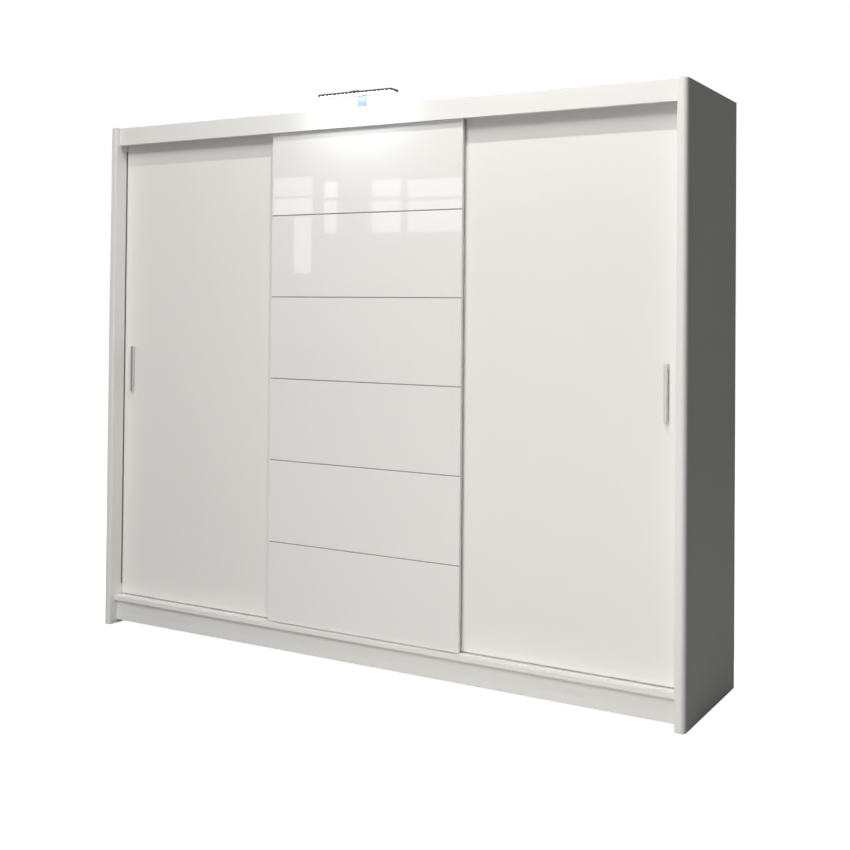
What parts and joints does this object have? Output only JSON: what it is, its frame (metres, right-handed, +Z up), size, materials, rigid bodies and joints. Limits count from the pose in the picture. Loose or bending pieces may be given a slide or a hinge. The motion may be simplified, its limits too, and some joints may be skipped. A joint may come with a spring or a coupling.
{
  "type": "sliding door wardrobe",
  "caption": "Wide free-standing wardrobe with sliding doors, the middle one faced with gloss tiles, bar handles, rounded side posts and an LED lamp over the front.",
  "frame": {"origin": "on the floor, under the centre of the bounding box with the lamp included", "axes": "+X along the width, to the right of someone facing the doors; +Y from the doors to the back; +Z up"},
  "size_m": [2.5, 0.61, 2.1543],
  "materials": {
    "white_laminate": "matt white melamine-faced chipboard",
    "side_laminate": "matt white-grey melamine-faced chipboard of the end panels",
    "inner_laminate": "matt white melamine-faced chipboard inside the carcass",
    "back_hardboard": "thin white-faced hardboard",
    "gloss_glass": "white back-lacquered glass, high gloss",
    "satin_aluminium": "satin anodised aluminium",
    "white_track": "white-lacquered aluminium section",
    "chrome": "polished chrome plate",
    "housing_plastic": "grey moulded plastic",
    "white_plastic": "white moulded nylon",
    "lamp_grey": "dark grey lacquered metal tray",
    "lamp_lens": "opal diffuser with a row of cold white diodes, lit"
  },
  "bodies": {
    "carcass": {"side_post_left": "white_laminate", "side_post_right": "white_laminate", "top_fascia": "white_laminate", "plinth_front": "white_laminate", "side_panel_left": "side_laminate", "side_panel_right": "side_laminate", "bottom_panel": "inner_laminate", "top_panel": "inner_laminate", "plinth_rear": "inner_laminate", "partition_left": "inner_laminate", "partition_right": "inner_laminate", "shelf_left_1": "inner_laminate", "shelf_left_2": "inner_laminate", "shelf_left_3": "inner_laminate", "shelf_left_4": "inner_laminate", "hat_shelf_middle": "inner_laminate", "hat_shelf_right": "inner_laminate", "back_panel_left": "back_hardboard", "back_panel_middle": "back_hardboard", "back_panel_right": "back_hardboard", "top_track": "satin_aluminium", "bottom_track": "white_track", "lamp_bracket": "chrome", "hanging_rail_middle": "chrome", "hanging_rail_right": "chrome", "rail_bracket_middle_left": "chrome", "rail_bracket_middle_right": "chrome", "rail_bracket_right_left": "chrome", "rail_bracket_right_right": "chrome", "lamp_housing": "lamp_grey", "lamp_lens": "lamp_lens"},
    "left_door": {"left_door_panel": "white_laminate", "left_handle": "satin_aluminium", "roller_housing_left_left": "housing_plastic", "roller_housing_left_right": "housing_plastic", "top_guide_left_left": "white_plastic", "top_guide_left_right": "white_plastic"},
    "middle_door": {"middle_door_backing": "white_laminate", "middle_door_tile_1": "gloss_glass", "middle_door_tile_2": "gloss_glass", "middle_door_tile_3": "gloss_glass", "middle_door_tile_4": "gloss_glass", "middle_door_tile_5": "gloss_glass", "middle_door_tile_6": "gloss_glass", "roller_housing_middle_left": "housing_plastic", "roller_housing_middle_right": "housing_plastic", "top_guide_middle_left": "white_plastic", "top_guide_middle_right": "white_plastic"},
    "right_door": {"right_door_panel": "white_laminate", "right_handle": "satin_aluminium", "roller_housing_right_left": "housing_plastic", "roller_housing_right_right": "housing_plastic", "top_guide_right_left": "white_plastic", "top_guide_right_right": "white_plastic"},
    "left_door_left_wheel": {"roller_wheel_left_left": "white_plastic"},
    "left_door_right_wheel": {"roller_wheel_left_right": "white_plastic"},
    "middle_door_left_wheel": {"roller_wheel_middle_left": "white_plastic"},
    "middle_door_right_wheel": {"roller_wheel_middle_right": "white_plastic"},
    "right_door_left_wheel": {"roller_wheel_right_left": "white_plastic"},
    "right_door_right_wheel": {"roller_wheel_right_right": "white_plastic"}
  },
  "joints": [
    {"name": "left_door_slide", "type": "slide", "parent": "carcass", "child": "left_door", "axis": [1, 0, 0], "range_m": [0, 0.37]},
    {"name": "middle_door_slide", "type": "slide", "parent": "carcass", "child": "middle_door", "axis": [1, 0, 0], "range_m": [-0.79, 0.79]},
    {"name": "right_door_slide", "type": "slide", "parent": "carcass", "child": "right_door", "axis": [1, 0, 0], "range_m": [-0.37, 0]},
    {"name": "left_door_left_wheel_spin", "type": "hinge", "parent": "left_door", "child": "left_door_left_wheel", "pos_m": [-1.1425, -0.19395, 0.1321], "axis": [0, 1, 0], "range_deg": [0, 1950]},
    {"name": "left_door_right_wheel_spin", "type": "hinge", "parent": "left_door", "child": "left_door_right_wheel", "pos_m": [-0.4425, -0.19395, 0.1321], "axis": [0, 1, 0], "range_deg": [0, 1950]},
    {"name": "middle_door_left_wheel_spin", "type": "hinge", "parent": "middle_door", "child": "middle_door_left_wheel", "pos_m": [-0.35, -0.22595, 0.1321], "axis": [0, 1, 0], "range_deg": [-4150, 4150]},
    {"name": "middle_door_right_wheel_spin", "type": "hinge", "parent": "middle_door", "child": "middle_door_right_wheel", "pos_m": [0.35, -0.22595, 0.1321], "axis": [0, 1, 0], "range_deg": [-4150, 4150]},
    {"name": "right_door_left_wheel_spin", "type": "hinge", "parent": "right_door", "child": "right_door_left_wheel", "pos_m": [0.4425, -0.19395, 0.1321], "axis": [0, 1, 0], "range_deg": [-1950, 0]},
    {"name": "right_door_right_wheel_spin", "type": "hinge", "parent": "right_door", "child": "right_door_right_wheel", "pos_m": [1.1425, -0.19395, 0.1321], "axis": [0, 1, 0], "range_deg": [-1950, 0]}
  ],
  "couplings": [
    {"joint": "left_door_left_wheel_spin", "follows": "left_door_slide", "rad_per_m": 90.909},
    {"joint": "left_door_right_wheel_spin", "follows": "left_door_slide", "rad_per_m": 90.909},
    {"joint": "middle_door_left_wheel_spin", "follows": "middle_door_slide", "rad_per_m": 90.909},
    {"joint": "middle_door_right_wheel_spin", "follows": "middle_door_slide", "rad_per_m": 90.909},
    {"joint": "right_door_left_wheel_spin", "follows": "right_door_slide", "rad_per_m": 90.909},
    {"joint": "right_door_right_wheel_spin", "follows": "right_door_slide", "rad_per_m": 90.909}
  ]
}
